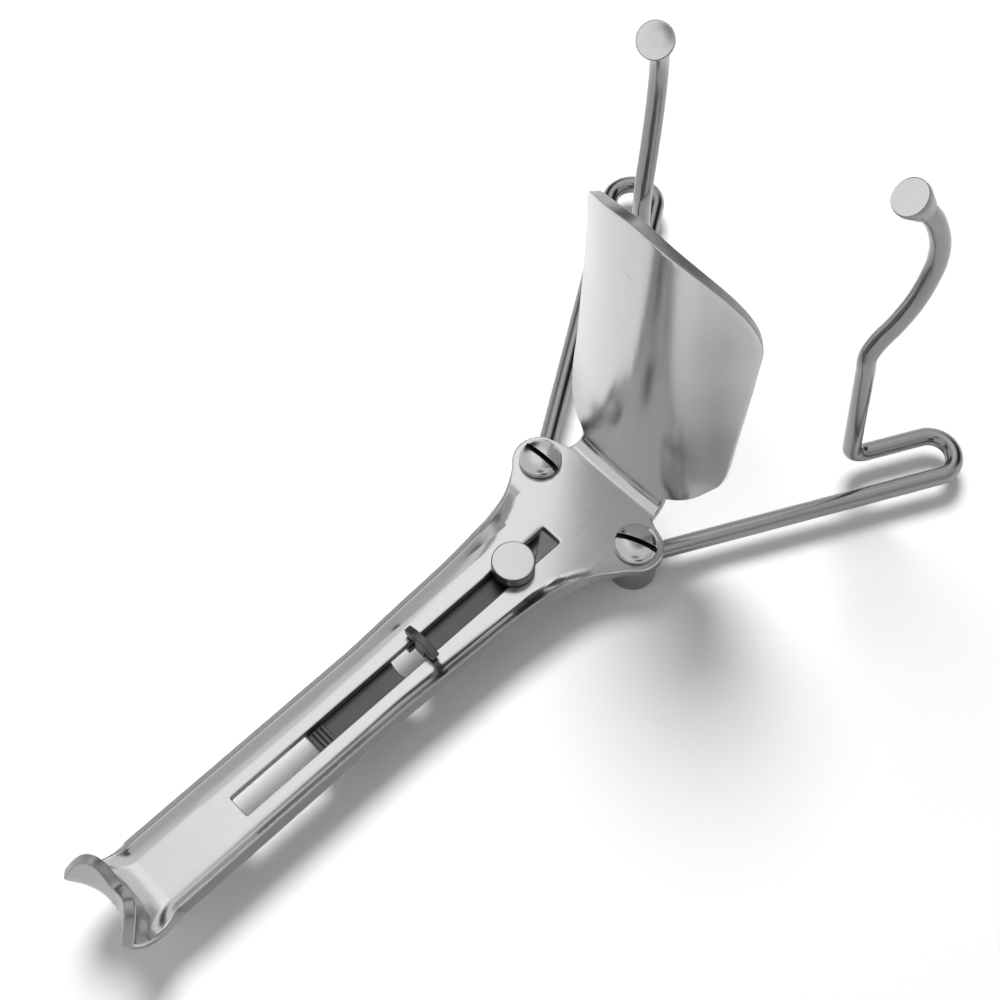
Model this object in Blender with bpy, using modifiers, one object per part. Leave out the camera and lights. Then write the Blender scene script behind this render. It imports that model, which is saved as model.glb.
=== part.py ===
"""Self retaining vaginal speculum with one broad blade and two wire side arms.

Lengths below are in millimetres and are scaled to metres when a mesh is written.
X runs from the thumb hook to the blade, Y to the instrument's left, Z is up.
The working frame has its zero on the line between the two pivot screws, at the
upper face of the handle plate. ORIGIN moves it so that the instrument stands on
Z = 0 with its footprint centred on X = 0, Y = 0.
"""
import math

import bmesh
import bpy
from mathutils import Matrix, Vector

MM = 0.001
FIT = 0.3                      # clearance between pieces that touch

# Sheet of the handle and blade
SHEET = 2.3                    # sheet thickness
HANDLE_HALF = 8.1              # half width over the raised sides
FLOOR_SIDE = 3.1               # width of each raised side, in plan
SIDE_RISE = 2.2                # height of the raised sides
HOOK_BEND_X = -119.2           # where the floor starts to curl up
HOOK_RADIUS = 6.5
HOOK_TURN = 105.0              # degrees
HOOK_STRAIGHT = 7.5            # flat end of the lobes after the curl
HOOK_NOTCH = 0.55              # share of it that is left in the middle
HOOK_HALF = 10.3               # half width over the two lobes
HOOK_SWEEP = 5.0               # how far the lobes trail behind the middle
ROOT_X = 7.2                   # where the floor starts to bend up into the blade
ROOT_RADIUS = 2.6
BLADE_LEAN = -4.0              # degrees from upright, towards the handle
BLADE_HALF = 22.55
BLADE_SHOULDER = 60.5          # height of the widest station above the root bend
BLADE_TIP = 31.4               # height of the rounded tip
BLADE_SAG = 12.3               # depth of the trough at the widest station
ROOT_HALF = 12.85
ROOT_SAG = 0.15                # share of the trough's depth at the blade's foot

# Slot and slide
SLOT_FRONT = -11.0
SLOT_REAR = -98.2
SLOT_HALF = 2.5
STUD_X = -22.5
STUD_R = 1.6
KNOB_R = 4.7
KNOB_H = 3.0
BAR_T = 1.7
BAR_HALF = 6.0
BAR_REAR = -81.0
TAB_X = -48.8
TAB_NECK = 1.4
TAB_HEAD = 4.5
TAB_TOP = 3.8
NUT_R = 6.0
NUT_H = 3.4
SLIDE_TRAVEL = 6.0             # each way

# Pivots and arms
PIVOT_Y = 14.5
BOSS_R = 6.2
POST_R = 5.3
WIRE_IN = 2.8                  # the wire stops this far from the post's axis
POST_H = 9.2
SCREW_R = 4.7
SHANK_R = 2.0
SHANK_IN = 6.0                 # how far the screw goes into its post
LEVER_HALF = 3.1
LEVER_T = 2.8
WIRE_R = 2.0
ROD_DROP = 5.4                 # depth of the rod axis below the plate face
RIGHT_ANGLE = 27.6             # degrees from straight ahead
RIGHT_LOOP_END = 77.2          # reach of the loop, on the wire axis
RIGHT_LOOP_GAP = 10.4          # distance between the two strands of the loop
LEFT_ANGLE = 32.7              # the left wire is bent a little wider and longer
LEFT_LOOP_END = 84.3
LEFT_LOOP_GAP = 11.3
LEFT_LEAN = 1.1                # degrees, how far its upright leans outwards
LEFT_SET_BACK = 2.0            # how far its upright stands nearer to the post
LEFT_DROP = 1.5                # how much lower its tip is
CAP_R = 3.7
CAP_L = 5.6

TABLE = SHEET + FIT + POST_H   # height of the plate face above the table
ORIGIN = Vector((27.6, -4.7, TABLE))   # puts the middle of the whole instrument on X = 0, Y = 0
BAR_TOP = -SHEET - FIT
LEVER_TOP = BAR_TOP - BAR_T - FIT
LEVER_BOTTOM = LEVER_TOP - LEVER_T
ROD_Z = -ROD_DROP
STUD_DIST = math.hypot(STUD_X, PIVOT_Y)
TURN_PER_MM = PIVOT_Y / STUD_DIST ** 2     # arm turn in radians per mm of slide

for old in list(bpy.data.objects):
    bpy.data.objects.remove(old)
part = bpy.data.collections.new("vaginal_speculum")
bpy.context.scene.collection.children.link(part)
tools = bpy.data.collections.new("cutters")
bpy.context.scene.collection.children.link(tools)


def steel(name, grey, rough):
    mat = bpy.data.materials.new(name)
    mat.use_nodes = True
    shader = mat.node_tree.nodes["Principled BSDF"]
    shader.inputs["Base Color"].default_value = (grey, grey, grey * 1.01, 1.0)
    shader.inputs["Metallic"].default_value = 1.0
    shader.inputs["Roughness"].default_value = rough
    return mat


def from_bmesh(name, bm, collection=part):
    bmesh.ops.recalc_face_normals(bm, faces=bm.faces[:])
    mesh = bpy.data.meshes.new(name)
    bm.to_mesh(mesh)
    bm.free()
    obj = bpy.data.objects.new(name, mesh)
    collection.objects.link(obj)
    if collection is tools:
        obj.hide_render = True
        obj.display_type = "WIRE"
    return obj


def evaluated(obj):
    """Swap an object's mesh for what its modifiers give, then clean it."""
    graph = bpy.context.evaluated_depsgraph_get()
    mesh = bpy.data.meshes.new_from_object(obj.evaluated_get(graph))
    obj.modifiers.clear()
    old = obj.data
    obj.data = mesh
    bpy.data.meshes.remove(old)
    bm = bmesh.new()
    bm.from_mesh(mesh)
    bmesh.ops.remove_doubles(bm, verts=bm.verts[:], dist=0.00002)
    bmesh.ops.dissolve_degenerate(bm, edges=bm.edges[:], dist=0.00001)
    bmesh.ops.recalc_face_normals(bm, faces=bm.faces[:])
    bm.to_mesh(mesh)
    bm.free()
    return obj


def lathe(name, profile, steps=32, matrix=None, collection=part):
    """Turned piece: profile is a list of (radius, height) from axis to axis."""
    bm = bmesh.new()
    verts = [bm.verts.new((r * MM, 0.0, z * MM)) for r, z in profile]
    edges = [bm.edges.new(pair) for pair in zip(verts[:-1], verts[1:])]
    bmesh.ops.spin(bm, geom=verts + edges, cent=(0, 0, 0), axis=(0, 0, 1),
                   angle=2 * math.pi, steps=steps, use_duplicate=False)
    bmesh.ops.remove_doubles(bm, verts=bm.verts[:], dist=0.000005)
    if matrix is not None:
        bmesh.ops.transform(bm, matrix=matrix, verts=bm.verts[:])
    return from_bmesh(name, bm, collection)


def prism(name, outline, z0, z1, collection=part):
    """Flat plate: a closed 2D curve, filled and given its thickness."""
    curve = bpy.data.curves.new(name + "_outline", "CURVE")
    curve.dimensions = "2D"
    curve.fill_mode = "BOTH"
    curve.extrude = abs(z1 - z0) * MM / 2
    spline = curve.splines.new("POLY")
    spline.points.add(len(outline) - 1)
    for point, (x, y) in zip(spline.points, outline):
        point.co = (x * MM, y * MM, 0.0, 1.0)
    spline.use_cyclic_u = True
    carrier = bpy.data.objects.new(name + "_outline", curve)
    tools.objects.link(carrier)
    graph = bpy.context.evaluated_depsgraph_get()
    mesh = bpy.data.meshes.new_from_object(carrier.evaluated_get(graph))
    bpy.data.objects.remove(carrier)
    bm = bmesh.new()
    bm.from_mesh(mesh)
    bmesh.ops.remove_doubles(bm, verts=bm.verts[:], dist=0.000005)
    bmesh.ops.translate(bm, verts=bm.verts[:], vec=(0, 0, (z0 + z1) / 2 * MM))
    return from_bmesh(name, bm, collection)


def tube(name, path, radius, sides=16, collection=part):
    """Round wire along a list of points, with flat ends."""
    curve = bpy.data.curves.new(name + "_path", "CURVE")
    curve.dimensions = "3D"
    curve.bevel_depth = radius * MM
    curve.bevel_resolution = (sides - 4) // 2
    curve.use_fill_caps = True
    spline = curve.splines.new("POLY")
    spline.points.add(len(path) - 1)
    for point, co in zip(spline.points, path):
        point.co = (co[0] * MM, co[1] * MM, co[2] * MM, 1.0)
    carrier = bpy.data.objects.new(name + "_path", curve)
    tools.objects.link(carrier)
    graph = bpy.context.evaluated_depsgraph_get()
    mesh = bpy.data.meshes.new_from_object(carrier.evaluated_get(graph))
    bpy.data.objects.remove(carrier)
    bm = bmesh.new()
    bm.from_mesh(mesh)
    bmesh.ops.remove_doubles(bm, verts=bm.verts[:], dist=0.000005)
    return from_bmesh(name, bm, collection)


def block(name, x0, x1, y0, y1, z0, z1, collection=tools):
    return prism(name, [(x0, y0), (x1, y0), (x1, y1), (x0, y1)], z0, z1, collection)


def combine(obj, other, operation):
    mod = obj.modifiers.new(operation.lower(), "BOOLEAN")
    mod.operation = operation
    mod.solver = "EXACT"
    mod.object = other
    evaluated(obj)
    if other.name in part.objects:
        bpy.data.objects.remove(other)


def arc(cx, cy, r, a0, a1, n):
    """Points on an arc, angles in degrees."""
    out = []
    for i in range(n + 1):
        a = math.radians(a0 + (a1 - a0) * i / n)
        out.append((cx + r * math.cos(a), cy + r * math.sin(a)))
    return out


def lerp_table(table, x):
    """Straight line look up in a list of (position, value) pairs."""
    if x <= table[0][0]:
        return table[0][1]
    for (a, va), (b, vb) in zip(table[:-1], table[1:]):
        if x <= b:
            return va + (vb - va) * (x - a) / (b - a)
    return table[-1][1]


# Handle and blade, one bent sheet. Its upper face is a grid of stations along
# the instrument and columns across it, thickened downwards.

def boss_edge(x):
    return PIVOT_Y + math.sqrt(max(0.0, BOSS_R ** 2 - x ** 2))


flare = [(-60.0, HANDLE_HALF), (-45.0, 8.8), (-34.0, 9.2), (-25.0, 9.9), (-20.0, 10.7),
         (-15.0, 12.2), (-12.0, 13.4), (-10.0, 14.5), (-8.2, 15.9), (-6.8, 17.4)]
for bx in (-5.4, -3.8, -2.0, 0.0, 2.0, 3.8, 5.1):
    flare.append((bx, boss_edge(bx)))
flare += [(6.0, 15.9), (6.5, 14.4), (ROOT_X, 13.4), (ROOT_X + 2.0, ROOT_HALF)]

stations = []                  # (x, z, tangent degrees, half width, kind, share of the hook's end)
centre_x = HOOK_BEND_X
for frac in (1.0, 0.85, 0.65, 0.4, 0.2, 0.0):
    a = math.radians(270.0 - HOOK_TURN)
    x = centre_x + HOOK_RADIUS * math.cos(a)
    z = HOOK_RADIUS + HOOK_RADIUS * math.sin(a)
    stations.append((x, z, 360.0 - HOOK_TURN, HOOK_HALF - 0.5 * frac, 1.0, frac))
for i in range(1, 8):
    turn = HOOK_TURN * (1 - i / 7)
    a = math.radians(270.0 - turn)
    x = centre_x + HOOK_RADIUS * math.cos(a)
    z = HOOK_RADIUS + HOOK_RADIUS * math.sin(a)
    t = turn / HOOK_TURN
    half = HANDLE_HALF + (HOOK_HALF - HANDLE_HALF) * min(1.0, t * 1.3)
    stations.append((x, z, 360.0 - turn, half, t, 0.0))
for x in (-114.0, -107.0, -98.2, -85.0, -70.0, -55.0):
    stations.append((x, 0.0, 0.0, lerp_table(flare, x), 0.0, 0.0))
for x, half in flare[1:-2]:
    stations.append((x, 0.0, 0.0, half, 0.0, 0.0))
bend = 90.0 - BLADE_LEAN
for i in range(0, 6):
    turn = bend * i / 5
    a = math.radians(-90.0 + turn)
    x = ROOT_X + ROOT_RADIUS * math.cos(a)
    z = ROOT_RADIUS + ROOT_RADIUS * math.sin(a)
    stations.append((x, z, turn, 13.4 + (ROOT_HALF - 13.4) * i / 5, 2.0, 0.0))
root = stations[-1]
up = math.radians(bend)
shares = [(1.5, 0.574), (3.5, 0.671), (6.0, 0.783), (9.0, 0.876), (12.5, 0.962), (16.0, 0.981),
          (20.0, 0.984), (26.0, 0.985), (34.0, 0.989), (42.0, 0.992), (51.0, 0.996)]
blade_width = [(0.0, ROOT_HALF)] + [(s, share * BLADE_HALF) for s, share in shares]
blade_width += [(BLADE_SHOULDER, BLADE_HALF)]
for s, half in blade_width[1:]:
    stations.append((root[0] + s * math.cos(up), root[1] + s * math.sin(up), bend, half, 3.0 + s, 0.0))
for k in range(1, 12):
    rise = math.sin(math.radians(86.0 * k / 11))
    s = BLADE_SHOULDER + BLADE_TIP * rise
    half = BLADE_HALF * (1.0 - rise ** 1.77) ** (1 / 1.61)
    stations.append((root[0] + s * math.cos(up), root[1] + s * math.sin(up), bend, half, 3.0 + s, 0.0))

columns = [0.0, 0.15, 0.31, 0.47, 0.63, 0.72, 0.81, 0.90, 1.0]
columns = [-c for c in columns[:0:-1]] + columns


def lift(station, y):
    """Height of the sheet above its middle line, along the station's normal."""
    x, z, tangent, half, kind, frac = station
    if kind <= 1.0 and x < -110.0:
        side = SIDE_RISE * (1 - kind) * max(0.0, (abs(y) - half + FLOOR_SIDE) / FLOOR_SIDE) ** 1.6
        sweep = HOOK_SWEEP * kind ** 1.5 * (abs(y) / HOOK_HALF) ** 2.2
        return side - sweep
    if kind == 0.0:
        rise = SIDE_RISE * min(1.0, max(0.0, (-7.0 - x) / 16.0))
        return rise * max(0.0, (abs(y) - half + FLOOR_SIDE) / FLOOR_SIDE) ** 1.6
    if kind == 2.0:
        return -ROOT_SAG * (tangent / bend) * BLADE_SAG * (y / BLADE_HALF) ** 2
    depth = lerp_table(sag_shares, kind - 3.0)
    return -depth * BLADE_SAG * (y / BLADE_HALF) ** 2


def end_length(c):
    """Length of the hook's flat end at a share c of its half width: notched, with round lobes."""
    if c < 0.62:
        t = c / 0.62
        return HOOK_STRAIGHT * (HOOK_NOTCH + (1 - HOOK_NOTCH) * t * t * (3 - 2 * t))
    return HOOK_STRAIGHT * (1 - 0.75 * ((c - 0.62) / 0.38) ** 2.2)


sag_shares = [(0.0, ROOT_SAG), (1.5, 0.22), (3.5, 0.31), (6.0, 0.415), (9.0, 0.545), (12.5, 0.656),
              (16.0, 0.714), (20.0, 0.758), (26.0, 0.802), (34.0, 0.854), (42.0, 0.914), (51.0, 0.964),
              (BLADE_SHOULDER, 1.0)]
bpy.ops.mesh.primitive_grid_add(x_subdivisions=len(stations) - 1, y_subdivisions=len(columns) - 1,
                                size=2.0)
blade = bpy.context.active_object
blade.name = "blade_handle"
blade.data.name = "blade_handle"
for home in list(blade.users_collection):
    home.objects.unlink(blade)
part.objects.link(blade)
for vert in blade.data.vertices:
    i = round((vert.co.x + 1.0) / 2.0 * (len(stations) - 1))
    j = round((vert.co.y + 1.0) / 2.0 * (len(columns) - 1))
    st = stations[i]
    y = columns[j] * st[3]
    h = lift(st, y)
    t = math.radians(st[2])
    on = end_length(abs(columns[j])) * st[5]
    vert.co = ((st[0] - math.sin(t) * h - math.cos(t) * on) * MM, y * MM,
               (st[1] + math.cos(t) * h - math.sin(t) * on) * MM)
solid = blade.modifiers.new("sheet", "SOLIDIFY")
solid.thickness = SHEET * MM
solid.offset = -1.0
solid.use_even_offset = True
evaluated(blade)
combine(blade, block("slot_cutter", SLOT_REAR, SLOT_FRONT, -SLOT_HALF, SLOT_HALF, -6.0, 6.0), "DIFFERENCE")
for side in (1, -1):
    hole = lathe("screw_hole", [(0, -6), (SHANK_R + FIT, -6), (SHANK_R + FIT, 6), (0, 6)], 32,
                 Matrix.Translation((0, side * PIVOT_Y * MM, 0)), tools)
    combine(blade, hole, "DIFFERENCE")

# Slide bar under the slot: a flat strip with ridges at its rear end, a round
# front end on the stud, and a T shaped tab folded up out of its own window.
front_r = 4.5
outline = [(BAR_REAR, -BAR_HALF), (STUD_X - 3.0, -BAR_HALF)]
outline += arc(STUD_X, 0, front_r, -70, 70, 10)
outline += [(STUD_X - 3.0, BAR_HALF), (BAR_REAR, BAR_HALF)]
bar = prism("slide_bar", outline, BAR_TOP - BAR_T, BAR_TOP)
window_front = TAB_X - 1.05
head_rear = window_front - (TAB_TOP - BAR_TOP)
head_front = head_rear + 3.0
reach = TAB_HEAD + 0.3
window = [(window_front, -TAB_NECK - 0.3), (window_front, TAB_NECK + 0.3),
          (head_front, TAB_NECK + 0.3), (head_front, reach)]
for i in range(9):
    y = reach * (1 - i / 4)
    window.append((head_rear + 1.4 * (y / reach) ** 2, y))
window += [(head_front, -reach), (head_front, -TAB_NECK - 0.3)]
combine(bar, prism("window_cutter", window, -6.0, 1.0, tools), "DIFFERENCE")
hole = lathe("stud_hole", [(0, -8), (STUD_R + FIT, -8), (STUD_R + FIT, 0), (0, 0)], 24,
             Matrix.Translation((STUD_X * MM, 0, 0)), tools)
combine(bar, hole, "DIFFERENCE")
for i in range(4):
    x0 = BAR_REAR + 0.2 + i * 1.9
    rib = block("rib", x0, x0 + 1.3, -SLOT_HALF + FIT, SLOT_HALF - FIT, BAR_TOP - 0.4, BAR_TOP + 0.7)
    combine(bar, rib, "UNION")
tab = [(-TAB_NECK, BAR_TOP - 0.4), (TAB_NECK, BAR_TOP - 0.4), (TAB_NECK, 0.6), (TAB_HEAD, 0.9)]
for i in range(9):
    y = TAB_HEAD * (1 - i / 4)
    tab.append((y, TAB_TOP - 1.4 * (y / TAB_HEAD) ** 2))
tab += [(-TAB_HEAD, 0.9), (-TAB_NECK, 0.6)]
fold = prism("tab", tab, TAB_X - BAR_T / 2, TAB_X + BAR_T / 2, tools)
turn = Matrix(((0, 0, 1, 0), (1, 0, 0, 0), (0, 1, 0, 0), (0, 0, 0, 1)))
fold.data.transform(turn)
combine(bar, fold, "UNION")

# Knob and stud: a plain disc above the handle on a stepped stud through the slot.
under = LEVER_BOTTOM - FIT - NUT_H
knob = lathe("slide_knob", [
    (0, FIT + KNOB_H), (KNOB_R - 0.35, FIT + KNOB_H), (KNOB_R, FIT + KNOB_H - 0.35),
    (KNOB_R, FIT + 0.3), (KNOB_R - 0.3, FIT), (SLOT_HALF - FIT, FIT), (SLOT_HALF - FIT, -SHEET),
    (STUD_R, -SHEET), (STUD_R, under + 0.2), (STUD_R - 0.2, under), (0, under)], 32,
    Matrix.Translation((STUD_X * MM, 0, 0)))

# Round nut that keeps the slide and the two levers on the stud.
nut = lathe("slide_nut", [
    (STUD_R + FIT, LEVER_BOTTOM - FIT), (NUT_R - 0.4, LEVER_BOTTOM - FIT),
    (NUT_R, LEVER_BOTTOM - FIT - 0.4), (NUT_R, under + 0.6), (NUT_R - 0.6, under),
    (STUD_R + FIT, under), (STUD_R + FIT, LEVER_BOTTOM - FIT)], 32,
    Matrix.Translation((STUD_X * MM, 0, 0)))


def cam_path(side):
    """Path of the stud seen from the lever while it turns in step with the slide."""
    out = []
    for i in range(13):
        q = -SLIDE_TRAVEL - 0.4 + (2 * SLIDE_TRAVEL + 0.8) * i / 12
        turn = -side * TURN_PER_MM * q
        dx = STUD_X + q
        dy = -side * PIVOT_Y
        out.append((dx * math.cos(turn) - dy * math.sin(turn),
                    dx * math.sin(turn) + dy * math.cos(turn)))
    return out


def offset_outline(path, gap, n=8):
    """Rounded outline at a fixed distance around an open path."""
    left, right = [], []
    for i, (x, y) in enumerate(path):
        a = path[max(0, i - 1)]
        b = path[min(len(path) - 1, i + 1)]
        dx, dy = b[0] - a[0], b[1] - a[1]
        size = math.hypot(dx, dy)
        left.append((x - dy / size * gap, y + dx / size * gap))
        right.append((x + dy / size * gap, y - dx / size * gap))
    first, last = path[0], path[-1]
    a0 = math.degrees(math.atan2(left[-1][1] - last[1], left[-1][0] - last[0]))
    a1 = math.degrees(math.atan2(right[0][1] - first[1], right[0][0] - first[0]))
    front = arc(last[0], last[1], gap, a0, a0 - 180, n)[1:-1]
    back = arc(first[0], first[1], gap, a1, a1 - 180, n)[1:-1]
    return left + front + right[::-1] + back


def crank(name, side, angle):
    """Post with its lever. The wire enters from outside, the stud runs in the slot."""
    py = side * PIVOT_Y
    top, foot = -SHEET - FIT, -TABLE
    post = lathe(name, [(0, top), (POST_R - 0.3, top), (POST_R, top - 0.3), (POST_R, foot + 0.9),
                        (POST_R - 0.35, foot + 0.3), (POST_R - 0.9, foot), (0, foot)], 32)
    cam = cam_path(side)
    far, near = cam[0], cam[-1]
    size = math.hypot(*far)
    ux, uy = far[0] / size, far[1] / size
    nx, ny = -uy * LEVER_HALF, ux * LEVER_HALF
    rim = offset_outline(cam, LEVER_HALF)
    hull = [(nx, ny)] + sorted_rim(rim, ux, uy, near) + [(-nx, -ny)]
    lever = prism("lever", hull, LEVER_BOTTOM, LEVER_TOP, tools)
    mid = (LEVER_TOP + LEVER_BOTTOM) / 2
    lap_from = math.hypot(*near) - 5.0
    if side > 0:
        z0, z1 = LEVER_BOTTOM - 1.0, mid + FIT / 2
    else:
        z0, z1 = mid - FIT / 2, LEVER_TOP + 1.0
    lap = [(ux * reach_out + wide * nx, uy * reach_out + wide * ny)
           for reach_out, wide in ((lap_from, 4), (lap_from, -4), (50, -4), (50, 4))]
    combine(lever, prism("lap_cutter", lap, z0, z1, tools), "DIFFERENCE")
    combine(post, lever, "UNION")
    groove = prism("cam_cutter", offset_outline(cam, STUD_R + FIT), -20.0, 0.0, tools)
    combine(post, groove, "DIFFERENCE")
    a = math.radians(angle) * side
    aim = Matrix.Translation((0, 0, ROD_Z * MM)) @ Matrix.Rotation(a, 4, "Z") @ Matrix.Rotation(
        math.pi / 2, 4, "Y")
    deep = WIRE_IN - FIT
    wide = WIRE_R + FIT
    bore = lathe("bore_cutter", [(0, deep), (wide, deep), (wide, POST_R - 1.0), (wide + 0.6, POST_R - 0.2),
                                 (wide + 0.6, 9.0), (0, 9.0)], 24, aim, tools)
    combine(post, bore, "DIFFERENCE")
    tip = -SHEET - SHANK_IN - 2 * FIT
    shank = lathe("shank_cutter", [(0, tip), (SHANK_R + FIT, tip), (SHANK_R + FIT, 0), (0, 0)], 24,
                  None, tools)
    combine(post, shank, "DIFFERENCE")
    post.data.transform(Matrix.Translation((0, py * MM, 0)))
    return post


def sorted_rim(rim, ux, uy, near):
    """The part of the rounded rim that lies beyond the near end of the slot."""
    keep = []
    for x, y in rim:
        along = x * ux + y * uy
        if along > math.hypot(*near):
            keep.append((math.atan2(-x * uy + y * ux, along - math.hypot(*near)), x, y))
    keep.sort(reverse=True)
    return [(x, y) for _, x, y in keep]


def screw(name, side, slot_angle):
    """Slotted screw, slightly domed, with its shank down to the wire."""
    head = [(0, 2.75), (1.4, 2.68), (2.7, 2.42), (3.8, 2.0), (SCREW_R - 0.25, 1.55), (SCREW_R, 1.3),
            (SCREW_R, FIT + 0.25), (SCREW_R - 0.25, FIT), (SHANK_R, FIT),
            (SHANK_R, -SHEET - SHANK_IN), (SHANK_R - 0.3, -SHEET - SHANK_IN - 0.3),
            (0, -SHEET - SHANK_IN - 0.3)]
    obj = lathe(name, head, 32)
    cut = block("slot", -6.0, 6.0, -0.6, 0.6, 1.5, 4.0)
    cut.data.transform(Matrix.Rotation(math.radians(slot_angle), 4, "Z"))
    combine(obj, cut, "DIFFERENCE")
    obj.data.transform(Matrix.Translation((0, side * PIVOT_Y * MM, 0)))
    return obj


def smooth_path(points, per=5):
    """Rounded path through a list of 2D points."""
    out = []
    pts = [points[0]] + points + [points[-1]]
    for k in range(1, len(pts) - 2):
        p0, p1, p2, p3 = pts[k - 1:k + 3]
        for i in range(per):
            t = i / per
            out.append(tuple(0.5 * (2 * p1[c] + (p2[c] - p0[c]) * t
                                    + (2 * p0[c] - 5 * p1[c] + 4 * p2[c] - p3[c]) * t * t
                                    + (3 * p1[c] - p0[c] - 3 * p2[c] + p3[c]) * t ** 3) for c in (0, 1)))
    out.append(points[-1])
    return out


# Upright of the arm in its own plane: reach from the post, height over the plate.
UPRIGHT = [(50.3, 32.4), (49.7, 37.6), (50.9, 42.5), (53.6, 47.8), (56.0, 55.0), (57.1, 63.5),
           (56.9, 69.5), (55.6, 75.0), (53.2, 80.5), (50.8, 84.1)]
UPRIGHT_FOOT = 54.2
TIP_DIR = (-0.63, 0.777)
TIP_FACE = (46.1, 89.8)


def arm_sizes(side):
    """Angle, loop end, loop gap, lean, set back and drop of one arm."""
    if side > 0:
        return LEFT_ANGLE, LEFT_LOOP_END, LEFT_LOOP_GAP, LEFT_LEAN, LEFT_SET_BACK, LEFT_DROP
    return RIGHT_ANGLE, RIGHT_LOOP_END, RIGHT_LOOP_GAP, 0.0, 0.0, 0.0


def on_upright(side, reach, z):
    """A point of the upright as (reach, sideways, height), with the arm's own lean and drop."""
    angle, loop_end, gap, lean, back, drop = arm_sizes(side)
    low = drop * max(0.0, (z - 50.0) / (TIP_FACE[1] - 50.0))
    return (reach - back - low, gap - math.tan(math.radians(lean)) * (z - ROD_Z), z - low)


def arm_path(side):
    """Points of the wire as (reach, sideways, height)."""
    angle, loop_end, gap, lean, back, drop = arm_sizes(side)
    path = [(WIRE_IN, 0.0, ROD_Z), (20.0, 0.0, ROD_Z), (50.0, 0.0, ROD_Z)]
    r = gap / 2
    turn_at = loop_end - r
    for x, y in arc(turn_at, r, r, -90, 90, 14):
        path.append((x, y, ROD_Z))
    tilt = math.atan2(UPRIGHT[0][1] - ROD_Z, UPRIGHT[0][0] - UPRIGHT_FOOT)
    bend_r = 4.6
    foot = UPRIGHT_FOOT + bend_r
    total = math.degrees(tilt) - 180.0
    for i in range(8):
        a = math.radians(-90 + total * i / 7)
        path.append((foot - back + bend_r * math.cos(a), gap, ROD_Z + bend_r + bend_r * math.sin(a)))
    for x, z in smooth_path(UPRIGHT, 4):
        path.append(on_upright(side, x, z))
    for inward in (CAP_L, 2.2):
        path.append(on_upright(side, TIP_FACE[0] - TIP_DIR[0] * inward, TIP_FACE[1] - TIP_DIR[1] * inward))
    return path


def arm_matrix(side):
    """Arm frame to working frame: the loop lies on the inner side of the rod."""
    a = math.radians(arm_sizes(side)[0])
    return Matrix(((math.cos(a), math.sin(a), 0, 0),
                   (side * math.sin(a), -side * math.cos(a), 0, side * PIVOT_Y * MM),
                   (0, 0, 1, 0), (0, 0, 0, 1)))


def wire(name, side):
    obj = tube(name, arm_path(side), WIRE_R)
    obj.data.transform(arm_matrix(side))
    return obj


def cap(name, side):
    """Turned tip with a bore for the wire end."""
    grow = CAP_R - 1.0
    face = Vector(on_upright(side, *TIP_FACE))
    start = Vector(on_upright(side, TIP_FACE[0] - TIP_DIR[0] * CAP_L, TIP_FACE[1] - TIP_DIR[1] * CAP_L))
    place = Matrix.Translation(face * MM) @ (face - start).to_track_quat("Z", "Y").to_matrix().to_4x4()
    profile = [(0, 0), (CAP_R - 0.3, 0), (CAP_R, -0.3), (CAP_R, -1.5), (CAP_R - 0.12, -1.75),
               (grow, -CAP_L + 0.25), (grow - 0.2, -CAP_L), (WIRE_R + FIT, -CAP_L),
               (WIRE_R + FIT, -1.9), (0, -1.9)]
    obj = lathe(name, profile, 32, place)
    obj.data.transform(arm_matrix(side))
    return obj


pieces = {}
for label, side in (("left", 1), ("right", -1)):
    pieces[label] = [crank(label + "_crank_post", side, arm_sizes(side)[0]),
                     screw(label + "_pivot_screw", side, 86.0 if side > 0 else 65.0),
                     wire(label + "_arm_wire", side),
                     cap(label + "_tip_cap", side)]


def rest(obj, mat, joint):
    """Put the finished mesh in the instrument's frame with its origin on its joint."""
    bm = bmesh.new()
    bm.from_mesh(obj.data)
    bmesh.ops.recalc_face_normals(bm, faces=bm.faces[:])
    bm.to_mesh(obj.data)
    bm.free()
    pivot = Vector(joint)
    obj.data.transform(Matrix.Translation(-pivot * MM))
    obj.location = (pivot + ORIGIN) * MM
    obj.data.materials.clear()
    obj.data.materials.append(mat)
    bpy.context.view_layer.objects.active = obj
    for poly in obj.data.polygons:
        poly.use_smooth = True
    obj.data.set_sharp_from_angle(angle=math.radians(32))


rest(blade, steel("steel_sheet", 0.62, 0.26), (0, 0, 0))
for obj, grey, rough in ((bar, 0.50, 0.32), (knob, 0.64, 0.22), (nut, 0.55, 0.28)):
    rest(obj, steel("steel_" + obj.name, grey, rough), (STUD_X, 0, 0))
for label, side in (("left", 1), ("right", -1)):
    for obj, grey, rough in zip(pieces[label], (0.55, 0.66, 0.60, 0.64), (0.28, 0.20, 0.24, 0.22)):
        rest(obj, steel("steel_" + obj.name, grey, rough), (0, side * PIVOT_Y, ROD_Z))
for obj in list(tools.objects):
    obj.hide_render = True
    obj.hide_viewport = True
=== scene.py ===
"""Looks of a self retaining vaginal speculum: one bent steel sheet, its slide and two wire side arms."""
import math

import bpy
from mathutils import Matrix, Vector


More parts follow.
